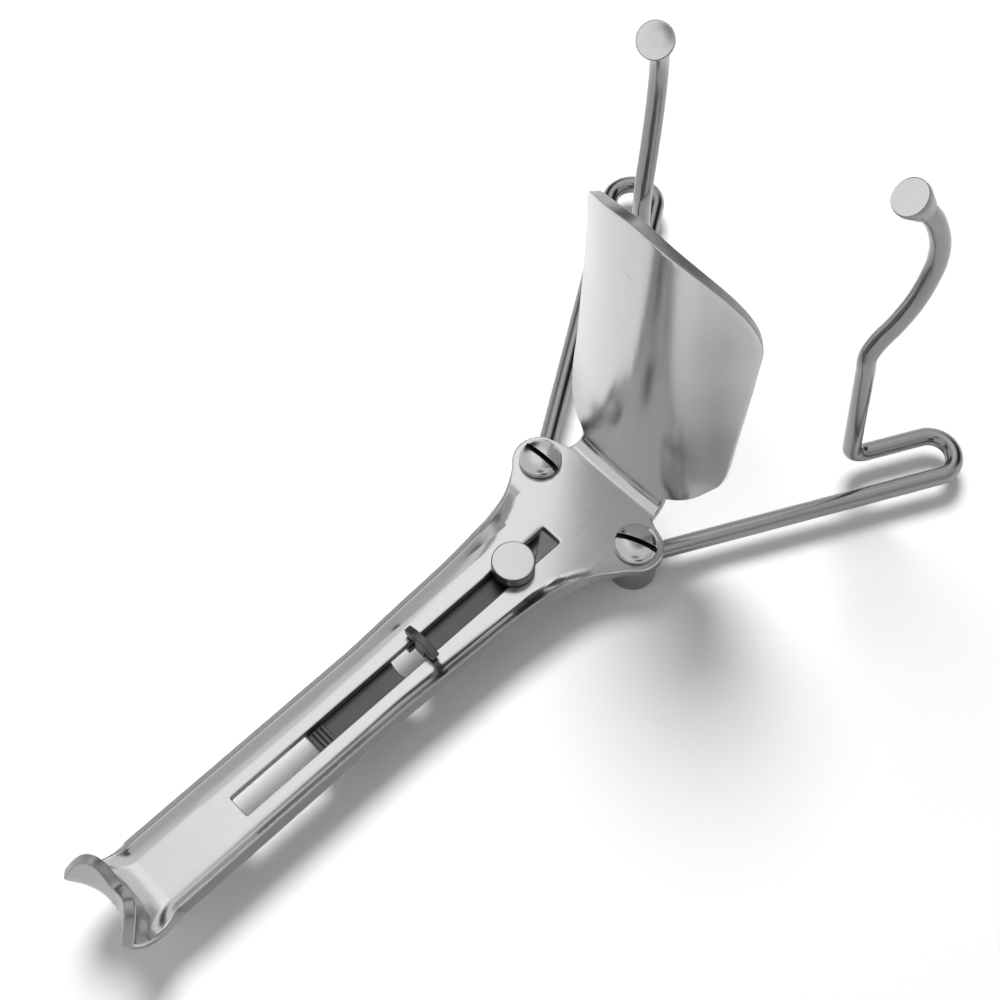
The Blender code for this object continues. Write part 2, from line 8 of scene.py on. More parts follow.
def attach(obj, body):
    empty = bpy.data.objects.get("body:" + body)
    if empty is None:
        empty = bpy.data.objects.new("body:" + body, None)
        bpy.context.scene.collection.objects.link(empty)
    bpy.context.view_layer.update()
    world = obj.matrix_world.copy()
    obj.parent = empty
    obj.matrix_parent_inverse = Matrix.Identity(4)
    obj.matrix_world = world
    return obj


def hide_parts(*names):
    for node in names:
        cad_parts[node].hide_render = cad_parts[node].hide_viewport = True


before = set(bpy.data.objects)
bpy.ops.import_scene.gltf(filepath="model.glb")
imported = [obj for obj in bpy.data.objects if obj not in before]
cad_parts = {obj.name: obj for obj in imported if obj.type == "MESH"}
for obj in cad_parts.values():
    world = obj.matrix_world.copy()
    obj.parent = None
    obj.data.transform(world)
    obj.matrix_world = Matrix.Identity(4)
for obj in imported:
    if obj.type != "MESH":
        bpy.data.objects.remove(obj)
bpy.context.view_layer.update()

bpy.ops.object.select_all(action="DESELECT")
scene = bpy.context.scene
scene.view_settings.view_transform = "Standard"

# Studio: a plain white floor, a camera at the photograph's angle, two soft lamps high up and a
# pale world. The steel mirrors the floor and the world, and six soft cards that only mirror rays
# see: one brighter overhead, four dark and one mid grey.
MM = 0.001
CAMERA_AT = (-0.106665, -0.112259, 0.332864)
CAMERA_AXES = ((0.718851, 0.610430, -0.332608), (-0.695109, 0.637166, -0.332929),
               (0.008697, 0.470526, 0.882343))
FILM_WIDTH = 36.0                                          # millimetres, as LENS_LENGTH
LENS_LENGTH = 60.38
lens = bpy.data.cameras.new("camera")
lens.sensor_width = FILM_WIDTH
lens.lens = LENS_LENGTH
lens.clip_start = 0.01
camera = bpy.data.objects.new("camera", lens)
scene.collection.objects.link(camera)
camera.matrix_world = Matrix.Translation(CAMERA_AT) @ Matrix(CAMERA_AXES).to_4x4()
scene.camera = camera


def add_node(tree, kind, **settings):
    """Put a node into a tree and set its properties, or its sockets where it has no such property."""
    made = tree.nodes.new(kind)
    for name, value in settings.items():
        if hasattr(made, name):
            setattr(made, name, value)
        else:
            made.inputs[name.replace("_", " ")].default_value = value
    return made


def lit_share(tree):
    """One for rays from the camera, a mirror or glass, nought for the rays that light things."""
    path = add_node(tree, "ShaderNodeLightPath")
    total = path.outputs["Is Camera Ray"]
    for name in ("Is Glossy Ray", "Is Transmission Ray"):
        more = add_node(tree, "ShaderNodeMath", operation="ADD", use_clamp=True)
        tree.links.new(total, more.inputs[0])
        tree.links.new(path.outputs[name], more.inputs[1])
        total = more.outputs[0]
    return total


WORLD_LIGHT = 0.2
world = bpy.data.worlds.new("pale_room")
scene.world = world
world.use_nodes = True
tree = world.node_tree
level = add_node(tree, "ShaderNodeMapRange")
tree.links.new(lit_share(tree), level.inputs["Value"])
level.inputs["To Min"].default_value = WORLD_LIGHT
level.inputs["To Max"].default_value = 1.0
tree.links.new(level.outputs["Result"], tree.nodes["Background"].inputs["Strength"])
tree.nodes["Background"].inputs["Color"].default_value = (1.0, 1.0, 1.0, 1.0)

FLOOR_RADIUS = 4.0
PAPER_WHITE = 0.93
FLOOR_LIFT = 0.08                                          # brightness added near the object
FLOOR_LIFT_FAR = 0.80                                      # the same far out, where the lamps' light runs out
FLOOR_FADE = (0.2, 1.3)                                    # metres from the object between the two
bpy.ops.mesh.primitive_circle_add(vertices=96, radius=FLOOR_RADIUS, fill_type="NGON")
floor = bpy.context.active_object
floor.name = "floor"
paper = bpy.data.materials.new("white_paper")
paper.use_nodes = True
tree = paper.node_tree
cover = tree.nodes["Principled BSDF"]
cover.inputs["Base Color"].default_value = (PAPER_WHITE, PAPER_WHITE, PAPER_WHITE, 1.0)
cover.inputs["Roughness"].default_value = 0.9
cover.inputs["Specular IOR Level"].default_value = 0.0
cover.inputs["Emission Color"].default_value = (1.0, 1.0, 1.0, 1.0)
place = add_node(tree, "ShaderNodeTexCoord")
away = add_node(tree, "ShaderNodeVectorMath", operation="LENGTH")
tree.links.new(place.outputs["Object"], away.inputs[0])
lift = add_node(tree, "ShaderNodeMapRange", interpolation_type="SMOOTHSTEP")
tree.links.new(away.outputs["Value"], lift.inputs["Value"])
lift.inputs["From Min"].default_value, lift.inputs["From Max"].default_value = FLOOR_FADE
lift.inputs["To Min"].default_value = FLOOR_LIFT
lift.inputs["To Max"].default_value = FLOOR_LIFT_FAR
level = add_node(tree, "ShaderNodeMath", operation="MULTIPLY")
tree.links.new(lit_share(tree), level.inputs[0])
tree.links.new(lift.outputs["Result"], level.inputs[1])
tree.links.new(level.outputs[0], cover.inputs["Emission Strength"])
floor.data.materials.append(paper)

# (name, place, width, watts)
LAMPS = (("key", (0.38, 0.56, 1.30), 0.6, 19.5), ("fill", (-0.9, 0.35, 1.0), 1.2, 2.5))
for lamp, spot, width, watts in LAMPS:
    light = bpy.data.lights.new(lamp, "AREA")
    light.shape = "DISK"
    light.size = width
    light.energy = watts
    holder = bpy.data.objects.new(lamp, light)
    scene.collection.objects.link(holder)
    holder.location = spot
    holder.rotation_euler = (-Vector(spot)).to_track_quat("-Z", "Y").to_euler()
    holder.visible_glossy = False

# (compass of the card in degrees from the blade's side towards the left, its height in degrees,
# degrees from its middle to the inner and outer end of its soft edge, brightness)
CARDS = (
    (45.0, 66.0, 10.0, 30.0, 1.45),
    (66.0, 24.0, 12.0, 23.0, 0.05),
    (-14.0, 28.0, 16.0, 27.5, 0.03),
    (-118.0, 26.0, 12.0, 20.0, 0.03),
    (-74.0, 27.0, 14.0, 28.0, 0.65),
    (-133.0, 64.0, 5.0, 13.0, 0.05),
)
CARD_AWAY = 1.5
for number, (compass, height, inner, outer, bright) in enumerate(CARDS):
    flat = math.cos(math.radians(height))
    facing = Vector((flat * math.cos(math.radians(compass)), flat * math.sin(math.radians(compass)),
                     math.sin(math.radians(height))))
    bpy.ops.mesh.primitive_circle_add(vertices=64, radius=CARD_AWAY * math.tan(math.radians(outer)),
                                      fill_type="NGON", location=facing * CARD_AWAY,
                                      rotation=facing.to_track_quat("Z", "Y").to_euler())
    card = bpy.context.active_object
    card.name = "card_%d" % number
    cloth = bpy.data.materials.new("card_cloth_%d" % number)
    cloth.use_nodes = True
    tree = cloth.node_tree
    tree.nodes.remove(tree.nodes["Principled BSDF"])
    place = add_node(tree, "ShaderNodeTexCoord")
    away = add_node(tree, "ShaderNodeVectorMath", operation="LENGTH")
    tree.links.new(place.outputs["Object"], away.inputs[0])
    edge = add_node(tree, "ShaderNodeMapRange", interpolation_type="SMOOTHSTEP")
    tree.links.new(away.outputs["Value"], edge.inputs["Value"])
    edge.inputs["From Min"].default_value = CARD_AWAY * math.tan(math.radians(inner))
    edge.inputs["From Max"].default_value = CARD_AWAY * math.tan(math.radians(outer))
    glow = add_node(tree, "ShaderNodeEmission", Strength=bright)
    clear = add_node(tree, "ShaderNodeBsdfTransparent")
    blend = add_node(tree, "ShaderNodeMixShader")
    tree.links.new(edge.outputs["Result"], blend.inputs["Fac"])
    tree.links.new(glow.outputs[0], blend.inputs[1])
    tree.links.new(clear.outputs[0], blend.inputs[2])
    tree.links.new(blend.outputs[0], tree.nodes["Material Output"].inputs["Surface"])
    card.data.materials.append(cloth)
    for ray in ("camera", "diffuse", "transmission", "volume_scatter", "shadow"):
        setattr(card, "visible_" + ray, False)

# Blade and handle: one sheet of stainless steel, 2.3 mm thick, blanked with its slot and screw
# holes. Its sides are rolled up, its rear is curled into a notched thumb hook, and its front is
# folded up and pressed into a trough. Every edge is rounded, and the faces have a satin polish.
ORIGIN = Vector((27.6, -4.7, 11.8))
SHEET = 2.3
EDGE_ROUND = 0.42
HANDLE_HALF = 8.1
FLOOR_SIDE = 3.1
SIDE_RISE = 2.2
HOOK_BEND_X = -119.2
HOOK_RADIUS = 6.5
HOOK_TURN = 105.0
HOOK_STRAIGHT = 7.5
HOOK_NOTCH = 0.55
HOOK_HALF = 10.3
HOOK_SWEEP = 5.0
HOOK_TAPER = 0.26                                          # narrowing of the flat end per mm
HOOK_CORNER = 1.9                                          # length of the flat end where its corner starts
LOBE_FROM = 0.62                                           # share of the half width where the notch ends
LOBE_DROP = 0.75
LOBE_ROUND = 2.9
SIDE_END_X = -7.0                                          # where the raised sides have run out
SIDE_RUN_OUT = 16.0
FLOOR_END_HALF = 12.5
ROOT_X = 7.2
ROOT_RADIUS = 2.6
ROOT_TURN = 94.0
ROOT_HALF = 11.8
ROOT_SAG = 0.15
BLADE_HALF = 22.55
BLADE_SHOULDER = 60.5
BLADE_TIP = 31.4
TIP_LONG, TIP_WIDE = 1.77, 1.61                            # powers of the tip's outline, 2 for an ellipse
BLADE_SAG = 12.3
SLOT_FRONT = -11.0
SLOT_REAR = -98.2
SLOT_HALF = 2.5
SLOT_CORNER = 0.35
PIVOT_Y = 14.5
BOSS_R = 6.2
SHANK_R = 2.0
FIT = 0.3
CURL_END = math.radians(HOOK_TURN) * HOOK_RADIUS          # lengths along the sheet, from the curl's start
FLOOR_END = CURL_END + ROOT_X - HOOK_BEND_X
FOLD_END = FLOOR_END + math.radians(ROOT_TURN) * ROOT_RADIUS
FLARE = [(-60.0, 8.1), (-45.0, 8.8), (-34.0, 9.2), (-25.0, 9.9), (-20.0, 10.7), (-15.0, 12.2), (-12.0, 13.4),
         (-10.0, 14.5), (-8.2, 15.75), (-6.8, 16.8), (-5.4, 17.85)]
FLARE += [(x, PIVOT_Y + math.sqrt(BOSS_R ** 2 - x ** 2)) for x in (-4.6, -3.8, -2.9, -2.0, -1.0, 0.0, 1.0,
                                                                   2.0, 2.9, 3.8, 4.6, 5.1)]
FLARE += [(6.0, 15.7), (6.5, 14.0), (ROOT_X, FLOOR_END_HALF)]
WIDTHS = [(0.0, 0.523), (1.5, 0.556), (3.5, 0.666), (6.0, 0.783), (9.0, 0.876), (12.5, 0.962), (16.0, 0.981),
          (20.0, 0.984), (26.0, 0.985), (34.0, 0.989), (42.0, 0.992), (51.0, 0.996), (60.5, 1.0)]
SAGS = [(0.0, ROOT_SAG), (1.5, 0.22), (3.5, 0.31), (6.0, 0.415), (9.0, 0.545), (12.5, 0.656), (16.0, 0.714),
        (20.0, 0.758), (26.0, 0.802), (34.0, 0.854), (42.0, 0.914), (51.0, 0.964), (60.5, 1.0), (92.0, 1.0)]


def along(table, x):
    """Smooth look up in (place, value) pairs, which never swings past the values on either side."""
    if x <= table[0][0]:
        return table[0][1]
    if x >= table[-1][0]:
        return table[-1][1]
    slopes = [(b[1] - a[1]) / (b[0] - a[0]) for a, b in zip(table[:-1], table[1:])]
    k = next(i for i in range(len(slopes)) if x <= table[i + 1][0])

    def bend_at(i):
        if i == 0 or i == len(slopes):
            return slopes[min(i, len(slopes) - 1)]
        before, after = slopes[i - 1], slopes[i]
        return 0.0 if before * after <= 0 else 2 * before * after / (before + after)

    (x0, y0), (x1, y1) = table[k], table[k + 1]
    h = x1 - x0
    t = (x - x0) / h
    return (y0 * (1 + 2 * t) * (1 - t) ** 2 + bend_at(k) * h * t * (1 - t) ** 2
            + y1 * t * t * (3 - 2 * t) + bend_at(k + 1) * h * t * t * (t - 1))


def hook_end(c):
    """Length of the hook's flat end at a share c of its half width: notched, with round lobes."""
    if c < LOBE_FROM:
        t = c / LOBE_FROM
        return HOOK_STRAIGHT * (HOOK_NOTCH + (1 - HOOK_NOTCH) * t * t * (3 - 2 * t))
    return HOOK_STRAIGHT * (1 - LOBE_DROP * ((c - LOBE_FROM) / (1 - LOBE_FROM)) ** LOBE_ROUND)


def half_width(s):
    """Half width of the sheet at a length s along it."""
    if s <= CURL_END:
        t = min(1.0, (1 - max(0.0, s) / CURL_END) * 1.3)
        return HANDLE_HALF + (HOOK_HALF - HANDLE_HALF) * t * t * (3 - 2 * t)
    if s <= FLOOR_END:
        return along(FLARE, HOOK_BEND_X + s - CURL_END)
    if s <= FOLD_END:
        return FLOOR_END_HALF + (ROOT_HALF - FLOOR_END_HALF) * (s - FLOOR_END) / (FOLD_END - FLOOR_END)
    return along(WIDTHS, s - FOLD_END) * BLADE_HALF


def middle_line(s):
    """Point, direction in degrees and share of curl of the upper face's middle line."""
    if s < CURL_END:
        turn = HOOK_TURN * (1 - max(0.0, s) / CURL_END)
        a = math.radians(270.0 - turn)
        x = HOOK_BEND_X + HOOK_RADIUS * math.cos(a)
        z = HOOK_RADIUS + HOOK_RADIUS * math.sin(a)
        t = math.radians(360.0 - turn)
        past = min(0.0, s)
        return x + past * math.cos(t), z + past * math.sin(t), t, turn / HOOK_TURN
    if s < FLOOR_END:
        return HOOK_BEND_X + s - CURL_END, 0.0, 0.0, 0.0
    turn = math.radians(min(ROOT_TURN, ROOT_TURN * (s - FLOOR_END) / (FOLD_END - FLOOR_END)))
    x = ROOT_X + ROOT_RADIUS * math.sin(turn)
    z = ROOT_RADIUS - ROOT_RADIUS * math.cos(turn)
    past = max(0.0, s - FOLD_END)
    return x + past * math.cos(turn), z + past * math.sin(turn), turn, 0.0


def raised(s, y):
    """Height of the upper face above its middle line: raised sides, trailing lobes or the trough."""
    if s > FLOOR_END:
        in_fold = s < FOLD_END
        share = ROOT_SAG * (s - FLOOR_END) / (FOLD_END - FLOOR_END) if in_fold else along(SAGS, s - FOLD_END)
        return -share * BLADE_SAG * (y / BLADE_HALF) ** 2
    x, _, _, curl = middle_line(s)
    t = min(1.0, max(0.0, (SIDE_END_X - x) / SIDE_RUN_OUT)) if s > CURL_END else 1.0
    side = max(0.0, (abs(y) - half_width(s) + FLOOR_SIDE) / FLOOR_SIDE) ** 1.6
    sweep = HOOK_SWEEP * curl ** 1.5 * (abs(y) / HOOK_HALF) ** 2.2
    return SIDE_RISE * t * (1 - curl) * side - sweep


def on_sheet(s, y, depth):
    """Where a point of the flat blank comes to lie once the sheet is bent."""
    def face(s, y):
        x, z, turn, _ = middle_line(s)
        h = raised(s, y)
        return Vector((x - math.sin(turn) * h, y, z + math.cos(turn) * h))

    step = 0.02
    normal = (face(s + step, y) - face(s - step, y)).cross(face(s, y + step) - face(s, y - step)).normalized()
    return face(s, y) + normal * depth


def alone(obj, mode="OBJECT"):
    """Pick this object only and go to the mode."""
    if bpy.context.mode != "OBJECT":
        bpy.ops.object.mode_set(mode="OBJECT")
    bpy.ops.object.select_all(action="DESELECT")
    obj.select_set(True)
    bpy.context.view_layer.objects.active = obj
    if mode == "EDIT":
        bpy.ops.object.mode_set(mode="EDIT")
        bpy.ops.mesh.select_all(action="SELECT")


def arc(cx, cy, r, a0, a1, n):
    """Points on an arc, angles in degrees."""
    return [(cx + r * math.cos(math.radians(a0 + (a1 - a0) * i / n)),
             cy + r * math.sin(math.radians(a0 + (a1 - a0) * i / n))) for i in range(n + 1)]


def blanked(name, outlines, top, bottom, soft, rings=3):
    """Plate cut from flat stock: the first outline is its rim and the others are holes, edges rounded."""
    curve = bpy.data.curves.new(name, "CURVE")
    curve.dimensions = "2D"
    curve.fill_mode = "BOTH"
    curve.extrude = ((top - bottom) / 2 - soft) * MM
    curve.bevel_depth = soft * MM
    curve.offset = -soft * MM
    curve.bevel_resolution = rings
    for outline in outlines:
        spline = curve.splines.new("POLY")
        spline.points.add(len(outline) - 1)
        for point, (x, y) in zip(spline.points, outline):
            point.co = (x * MM, y * MM, 0.0, 1.0)
        spline.use_cyclic_u = True
    obj = bpy.data.objects.new(name, curve)
    scene.collection.objects.link(obj)
    alone(obj)
    bpy.ops.object.convert(target="MESH")
    obj = bpy.context.active_object
    alone(obj, "EDIT")
    bpy.ops.mesh.remove_doubles(threshold=0.000004)
    bpy.ops.mesh.normals_make_consistent(inside=False)
    bpy.ops.transform.translate(value=(0, 0, (top + bottom) / 2 * MM))
    bpy.ops.object.mode_set(mode="OBJECT")
    return obj


def scored(obj, cuts, axis):
    """Cut the plate's faces along lines, so that it can bend there."""
    alone(obj, "EDIT")
    for cut in cuts:
        at, facing = [0.0] * 3, [0.0] * 3
        at[axis], facing[axis] = cut * MM, 1.0
        bpy.ops.mesh.select_all(action="SELECT")
        bpy.ops.mesh.bisect(plane_co=at, plane_no=facing)
    bpy.ops.object.mode_set(mode="OBJECT")


def steps(start, end, size):
    """Even steps from start up to end, about this size, without the end."""
    n = max(1, round((end - start) / size))
    return [start + (end - start) * i / n for i in range(n)]


rim = [(-hook_end(k / 28), k / 28 * (HOOK_HALF - 0.5)) for k in range(28)]
side_lengths = steps(-HOOK_CORNER, 0.0, 0.6) + steps(0.0, CURL_END, 0.6)
side_lengths += steps(CURL_END, FLOOR_END - 24.0, 2.0)
side_lengths += steps(FLOOR_END - 24.0, FOLD_END + 16.0, 0.5)
side_lengths += steps(FOLD_END + 16.0, FOLD_END + BLADE_SHOULDER, 2.0)
rim += [(s, half_width(s) + HOOK_TAPER * min(0.0, s)) for s in side_lengths]
for k in range(41):
    turn = math.radians(90.0 * k / 40)
    rim.append((FOLD_END + BLADE_SHOULDER + BLADE_TIP * math.sin(turn) ** (2 / TIP_LONG),
                BLADE_HALF * math.cos(turn) ** (2 / TIP_WIDE) if k < 40 else 0.0))
rim += [(s, -y) for s, y in rim[-2:0:-1]]
flat_x = CURL_END - HOOK_BEND_X                            # from a place x on the floor to its length s
slot = []
for cx, cy, a in ((SLOT_REAR, -SLOT_HALF, 180), (SLOT_FRONT, -SLOT_HALF, 270), (SLOT_FRONT, SLOT_HALF, 0),
                  (SLOT_REAR, SLOT_HALF, 90)):
    inward = (SLOT_CORNER if cx == SLOT_REAR else -SLOT_CORNER, SLOT_CORNER if cy < 0 else -SLOT_CORNER)
    slot += arc(cx + inward[0] + flat_x, cy + inward[1], SLOT_CORNER, a, a + 90, 4)
holes = [slot]
for side in (1, -1):
    holes.append(arc(flat_x, side * PIVOT_Y, SHANK_R + FIT, 0, 352.5, 47))
sheet = blanked("blade_and_handle", [rim] + holes, 0.0, -SHEET, EDGE_ROUND)
lengths = steps(-7.5, 0.0, 0.75) + steps(0.0, CURL_END, 0.45) + steps(CURL_END, FLOOR_END - 24.0, 1.6)
lengths += steps(FLOOR_END - 24.0, FLOOR_END, 0.6) + steps(FLOOR_END, FOLD_END, 0.28)
lengths += steps(FOLD_END, FOLD_END + 18.0, 0.9) + steps(FOLD_END + 18.0, FOLD_END + 91.0, 1.5)
scored(sheet, lengths, 0)
cuts_along = steps(0.6, 10.4, 0.5) + steps(10.4, 22.5, 1.0)
scored(sheet, [0.01] + [side * y for y in cuts_along for side in (1, -1)], 1)
alone(sheet, "EDIT")
bpy.ops.mesh.select_mode(type="EDGE")
bpy.ops.mesh.select_all(action="DESELECT")
bpy.ops.object.mode_set(mode="OBJECT")
flat_faces = {}
for face in sheet.data.polygons:
    for key in face.edge_keys:
        flat_faces[key] = flat_faces.get(key, 0) + (abs(face.normal.z) > 0.9999)
for edge in sheet.data.edges:
    a, b = (sheet.data.vertices[i].co for i in edge.vertices)
    slanted = abs(a.x - b.x) > 1e-6 and abs(a.y - b.y) > 1e-6
    edge.select = slanted and flat_faces[edge.key] == 2
bpy.ops.object.mode_set(mode="EDIT")
bpy.ops.mesh.dissolve_edges(use_verts=True)
bpy.ops.mesh.select_all(action="SELECT")
bpy.ops.mesh.remove_doubles(threshold=0.00003)
bpy.ops.object.mode_set(mode="OBJECT")
rim_faces = [face.index for face in sheet.data.polygons if abs(face.normal.z) < 0.8]
under_faces = [face.index for face in sheet.data.polygons if face.normal.z < -0.8]
layer = sheet.data.uv_layers.new(name="sheet")
for loop in sheet.data.loops:
    co = sheet.data.vertices[loop.vertex_index].co
    layer.data[loop.index].uv = (co.x, co.y)
for vert in sheet.data.vertices:
    s, y, depth = vert.co / MM
    vert.co = on_sheet(s, y, depth) * MM

grain = bpy.data.node_groups.new("polishing_grain", "ShaderNodeTree")
for name, kind in (("Vector", "NodeSocketVector"), ("Run", "NodeSocketVector")):
    grain.interface.new_socket(name, in_out="INPUT", socket_type=kind)
for name in ("Height", "Gloss", "Shade"):
    grain.interface.new_socket(name, in_out="OUTPUT", socket_type="NodeSocketFloat")
given = grain.nodes.new("NodeGroupInput")
taken = grain.nodes.new("NodeGroupOutput")
stretch = add_node(grain, "ShaderNodeVectorMath", operation="MULTIPLY")
grain.links.new(given.outputs["Vector"], stretch.inputs[0])
grain.links.new(given.outputs["Run"], stretch.inputs[1])
lines = add_node(grain, "ShaderNodeTexNoise", Scale=1.0, Detail=1.5, Roughness=0.5)
grain.links.new(stretch.outputs[0], lines.inputs["Vector"])
clouds = add_node(grain, "ShaderNodeTexNoise", Scale=55.0, Detail=3.0, Roughness=0.55)
grain.links.new(given.outputs["Vector"], clouds.inputs["Vector"])
patches = add_node(grain, "ShaderNodeTexNoise", Scale=420.0, Detail=2.0)
grain.links.new(given.outputs["Vector"], patches.inputs["Vector"])
for target, parts in (("Gloss", ((lines, 0.35), (clouds, 0.65))), ("Shade", ((lines, 0.3), (clouds, 0.55),
                                                                            (patches, 0.15)))):
    total = None
    for source, share in parts:
        more = add_node(grain, "ShaderNodeMath", operation="MULTIPLY_ADD")
        grain.links.new(source.outputs["Fac"], more.inputs[0])
        more.inputs[1].default_value = share
        more.inputs[2].default_value = 0.0
        if total:
            grain.links.new(total, more.inputs[2])
        total = more.outputs[0]
    grain.links.new(total, taken.inputs[target])
grain.links.new(lines.outputs["Fac"], taken.inputs["Height"])


def steel(name, grey, rough, run, depth=0.000003, layer=None):
    """Stainless steel with polishing lines that run the way it was rubbed."""
    mat = bpy.data.materials.new(name)
    mat.use_nodes = True
    tree = mat.node_tree
    skin = tree.nodes["Principled BSDF"]
    skin.inputs["Metallic"].default_value = 1.0
    place = add_node(tree, "ShaderNodeUVMap", uv_map=layer) if layer else add_node(tree, "ShaderNodeTexCoord")
    rub = add_node(tree, "ShaderNodeGroup", node_tree=grain)
    tree.links.new(place.outputs["UV" if layer else "Object"], rub.inputs["Vector"])
    rub.inputs["Run"].default_value = run
    spread = add_node(tree, "ShaderNodeMapRange")
    tree.links.new(rub.outputs["Gloss"], spread.inputs["Value"])
    spread.inputs["From Min"].default_value = 0.3
    spread.inputs["From Max"].default_value = 0.7
    spread.inputs["To Min"].default_value = rough * 0.8
    spread.inputs["To Max"].default_value = rough * 1.2
    tree.links.new(spread.outputs["Result"], skin.inputs["Roughness"])
    tone = add_node(tree, "ShaderNodeMix", data_type="RGBA")
    tree.links.new(rub.outputs["Shade"], tone.inputs["Factor"])
    tone.inputs[6].default_value = (grey * 0.88, grey * 0.88, grey * 0.89, 1.0)
    tone.inputs[7].default_value = (min(1.0, grey * 1.12), min(1.0, grey * 1.12), min(1.0, grey * 1.13), 1.0)
    tree.links.new(tone.outputs[2], skin.inputs["Base Color"])
    bump = add_node(tree, "ShaderNodeBump", Strength=1.0, Distance=depth)
    tree.links.new(rub.outputs["Height"], bump.inputs["Height"])
    tree.links.new(bump.outputs["Normal"], skin.inputs["Normal"])
    return mat


def darkened_faces(obj, surface_material, chosen):
    """Give a second, darker material to the faces that the test picks by their middle and their direction:
    painted shade on the knob's sides and in the screw slots, and the caps' darker sides.
    """
    obj.data.materials.append(surface_material)
    for face in obj.data.polygons:
        if chosen(face.center / MM - ORIGIN, face.normal):
            face.material_index = 1


def fitted(obj, surface_material, body, node, angle=40.0):
    """Give a finished piece its place, its finish and its ride."""
    alone(obj)
    bpy.ops.object.shade_smooth_by_angle(angle=math.radians(angle))
    even = obj.modifiers.new("even_normals", "WEIGHTED_NORMAL")
    even.keep_sharp = True
    bpy.ops.object.modifier_apply(modifier=even.name)
    obj.data.transform(Matrix.Translation(ORIGIN * MM))
    obj.data.materials.clear()
    obj.data.materials.append(surface_material)
    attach(obj, body)
    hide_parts(node)
    return obj


fitted(sheet, steel("satin_sheet", 0.52, 0.2, (45.0, 800.0, 800.0), 0.0000007, "sheet"), "handle",
       "blade_handle", 50.0)
# The rim faces get a base colour about half the sheet's: painted shade for the dark that the edges and slot
# walls mirror. Their higher roughness is the edges' own rougher finish.
sheet.data.materials.append(steel("rim_painted_shade", 0.27, 0.36, (300.0, 300.0, 300.0), 0.0000007, "sheet"))
sheet.data.materials.append(steel("brushed_back", 0.36, 0.36, (30.0, 1100.0, 1100.0), 0.0000012, "sheet"))
for number, faces in ((1, rim_faces), (2, under_faces)):
    for index in faces:
        sheet.data.polygons[index].material_index = number

# Slide bar: a flat steel strip that runs under the slot. A T shaped lug is punched out of it and
# folded up through the slot as a thumb rest, and ridges across its rear end give the finger a grip.
BAR_TOP = -SHEET - FIT
BAR_T = 1.7
BAR_HALF = 6.0
BAR_REAR = -78.6
BAR_CORNER = 0.6
RIDGE_PITCH = 1.05
RIDGE_WIDTH = 0.8
RIDGE_HALF = 2.1
STUD_X = -22.5
STUD_R = 1.6
LUG_NECK = 1.4
LUG_HEAD = 4.5
LUG_TOP = 3.8
LUG_CROWN = 1.4                                            # how far the lug's top is arched
SHOULDER_LOW, SHOULDER_HIGH = 0.6, 0.85                    # heights between which the neck widens to the head
LUG_FOLD = 0.6                                             # inner radius of the fold
LUG_FROM = -47.95 + LUG_FOLD                               # place where the lug starts to fold up
FOLDED = LUG_FOLD * math.pi / 2


def flat_lug(z):
    """Place in the flat strip of what stands at height z once the lug is folded up."""
    return LUG_FROM - (z - BAR_TOP - LUG_FOLD + FOLDED)


crown = [(flat_lug(LUG_TOP - LUG_CROWN * (1 - k / 8) ** 2), LUG_HEAD * (1 - k / 8)) for k in range(17)]
low, high = flat_lug(SHOULDER_LOW), flat_lug(SHOULDER_HIGH)
lug = [(LUG_FROM, LUG_NECK), (low, LUG_NECK), (high, LUG_HEAD - 0.4)] + crown
lug += [(high, 0.4 - LUG_HEAD), (low, -LUG_NECK), (LUG_FROM, -LUG_NECK)]
WINDOW_END = -55.6
WINDOW_NECK = 2.1
WINDOW_WIDE = LUG_HEAD + 0.3
shoulder = low + 0.25
window = lug + [(LUG_FROM, -WINDOW_NECK), (shoulder, -WINDOW_NECK), (shoulder, -WINDOW_WIDE)]
window += [(WINDOW_END + LUG_CROWN * (1 - k / 8) ** 2, -WINDOW_WIDE * (1 - k / 8)) for k in range(17)]
window += [(shoulder, WINDOW_WIDE), (shoulder, WINDOW_NECK), (LUG_FROM, WINDOW_NECK)]
tongue = arc(STUD_X, 0, 4.5, -70, 70, 28)
strip = [(BAR_REAR + BAR_CORNER, -BAR_HALF), (STUD_X - 3.0, -BAR_HALF)] + tongue
strip += [(STUD_X - 3.0, BAR_HALF), (BAR_REAR + BAR_CORNER, BAR_HALF), (BAR_REAR, BAR_HALF - BAR_CORNER),
          (BAR_REAR, BAR_CORNER - BAR_HALF)]
stud_hole = arc(STUD_X, 0, STUD_R + FIT, 0, 350, 35)
bar = blanked("slide_bar_with_lug", [strip, window, stud_hole], BAR_TOP, BAR_TOP - BAR_T, 0.2, 2)
ridges = [BAR_REAR + 0.15 + RIDGE_PITCH * k + off for k in range(4) for off in (0.0, RIDGE_WIDTH)]
scored(bar, ridges + [LUG_FROM - FOLDED * k / 6 for k in range(7)], 0)
scored(bar, [-RIDGE_HALF, RIDGE_HALF], 1)
for kind in (bar.data.vertices, bar.data.edges, bar.data.polygons):
    kind.foreach_set("select", [False] * len(kind))
for face in bar.data.polygons:
    x, y, z = face.center / MM
    on_ridge = any(ridges[k] < x < ridges[k + 1] for k in range(0, 8, 2))
    face.select = face.normal.z > 0.99 and abs(y) < RIDGE_HALF and on_ridge
alone(bar)
bpy.ops.object.mode_set(mode="EDIT")
bpy.ops.mesh.select_mode(type="FACE")
bpy.ops.mesh.extrude_region_move(TRANSFORM_OT_translate={"value": (0, 0, 0.5 * MM)})
bpy.ops.mesh.extrude_region_move(TRANSFORM_OT_translate={"value": (0, 0, 0.12 * MM)})
bpy.ops.object.mode_set(mode="OBJECT")
